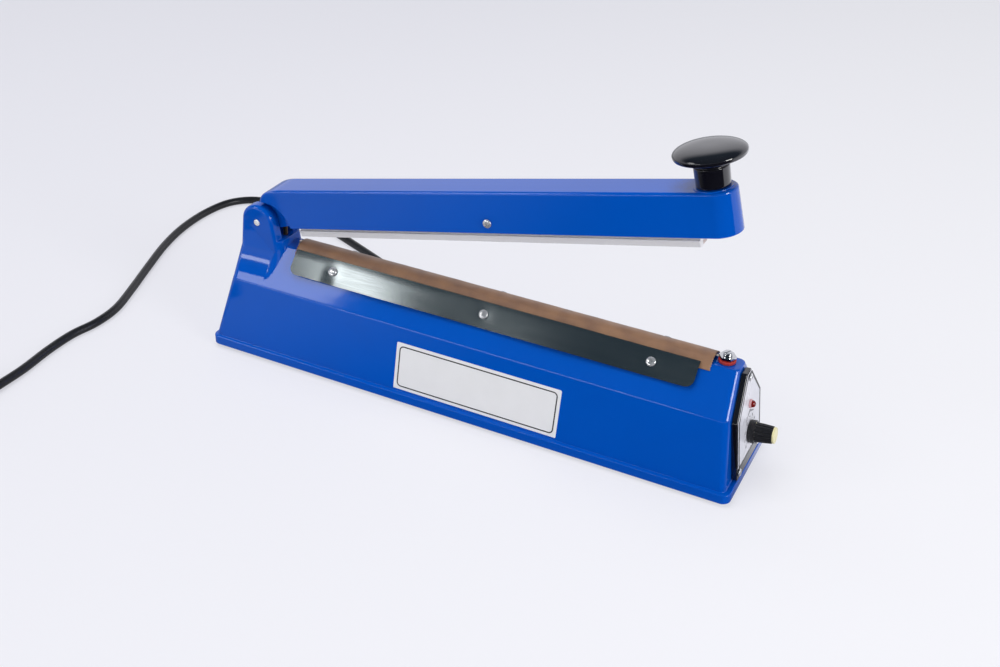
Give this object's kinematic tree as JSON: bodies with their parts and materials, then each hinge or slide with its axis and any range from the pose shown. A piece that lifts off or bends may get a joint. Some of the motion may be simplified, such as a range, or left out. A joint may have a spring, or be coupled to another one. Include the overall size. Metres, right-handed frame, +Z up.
{
  "type": "hand impulse bag sealer",
  "caption": "Bench sealer with a hinged pressing arm, hot band under release cloth, timer knob, lamp and mains lead; welds plastic bags shut.",
  "frame": {"origin": "on the table under the middle of the device's box, without its lead", "axes": "+X along the base from the hinge end to the timer end, +Z up, -Y the side that faces the user"},
  "size_m": [0.6242, 0.4231, 0.2338],
  "materials": {
    "blue_enamel": "gloss",
    "black_plastic": "gloss",
    "black_rubber": "matte",
    "cover_paint": "satin",
    "bright_steel": "polished",
    "plate_steel": "brushed",
    "spring_steel": "satin",
    "bar_aluminium": "satin",
    "fibre_strip": "matte",
    "resistance_band": "satin",
    "release_cloth": "satin",
    "red_fibre_washer": "matte",
    "red_silicone": "matte",
    "dial_face": "satin",
    "red_lens": "gloss",
    "cream_cap": "satin",
    "switch_plastic": "matte",
    "circuit_board": "satin",
    "laminated_core": "satin",
    "copper_winding": "satin",
    "brass": "polished",
    "grey_cable": "satin"
  },
  "bodies": {
    "base": {"base_housing": "blue_enamel", "bottom_cover": "cover_paint", "rubber_foot_1": "black_rubber", "cover_screw_1": "bright_steel", "rubber_foot_2": "black_rubber", "cover_screw_2": "bright_steel", "rubber_foot_3": "black_rubber", "cover_screw_3": "bright_steel", "rubber_foot_4": "black_rubber", "cover_screw_4": "bright_steel", "clamp_plate_front": "plate_steel", "clamp_plate_rear": "plate_steel", "plate_screw_1": "bright_steel", "plate_screw_2": "bright_steel", "plate_screw_3": "bright_steel", "plate_screw_4": "bright_steel", "plate_screw_5": "bright_steel", "plate_screw_6": "bright_steel", "insulating_strip": "fibre_strip", "heating_element": "resistance_band", "ptfe_cloth": "release_cloth", "element_spring": "spring_steel", "terminal_washer": "red_fibre_washer", "terminal_cup": "bright_steel", "terminal_screw": "bright_steel", "hinge_pin": "bright_steel", "return_spring": "spring_steel", "panel_plate": "black_plastic", "dial_plate": "dial_face", "panel_screw_1": "bright_steel", "panel_screw_2": "bright_steel", "panel_screw_3": "bright_steel", "indicator_lamp": "red_lens", "potentiometer": "switch_plastic", "timer_board": "circuit_board", "transformer_core": "laminated_core", "transformer_winding": "copper_winding", "microswitch": "switch_plastic", "plunger_spring": "spring_steel", "cable_gland": "black_rubber", "cord": "grey_cable", "cord_coil": "grey_cable", "coil_tie": "black_rubber", "plug_body": "grey_cable", "plug_pin_1": "brass", "plug_pin_2": "brass"},
    "arm": {"arm_shell": "blue_enamel", "pressing_bar": "bar_aluminium", "silicone_strip": "red_silicone", "bar_screw": "bright_steel", "bar_nut": "bright_steel", "handle_knob": "black_plastic", "knob_bolt": "bright_steel"},
    "timer": {"timer_knob": "black_plastic", "knob_cap": "cream_cap", "potentiometer_shaft": "bright_steel"},
    "plunger": {"switch_plunger": "brass"}
  },
  "joints": [
    {"name": "arm_hinge", "type": "hinge", "parent": "base", "child": "arm", "pos_m": [-0.18377, 0, 0.1021], "axis": [0, -1, 0], "range_deg": [-13, 20], "stiffness_Nm_per_rad": 4, "springref_deg": 14.32, "deforming": ["return_spring"]},
    {"name": "timer_turn", "type": "hinge", "parent": "base", "child": "timer", "pos_m": [0.19225, 0, 0.0355], "axis": [0.9923, 0, 0.1236], "range_deg": [-140, 140]},
    {"name": "plunger_slide", "type": "slide", "parent": "base", "child": "plunger", "axis": [0, 0, 1], "range_m": [-0.0028, 0.0043], "deforming": ["plunger_spring"]}
  ],
  "couplings": [
    {"joint": "plunger_slide", "follows": "arm_hinge", "m_per_rad": 0.0118}
  ]
}
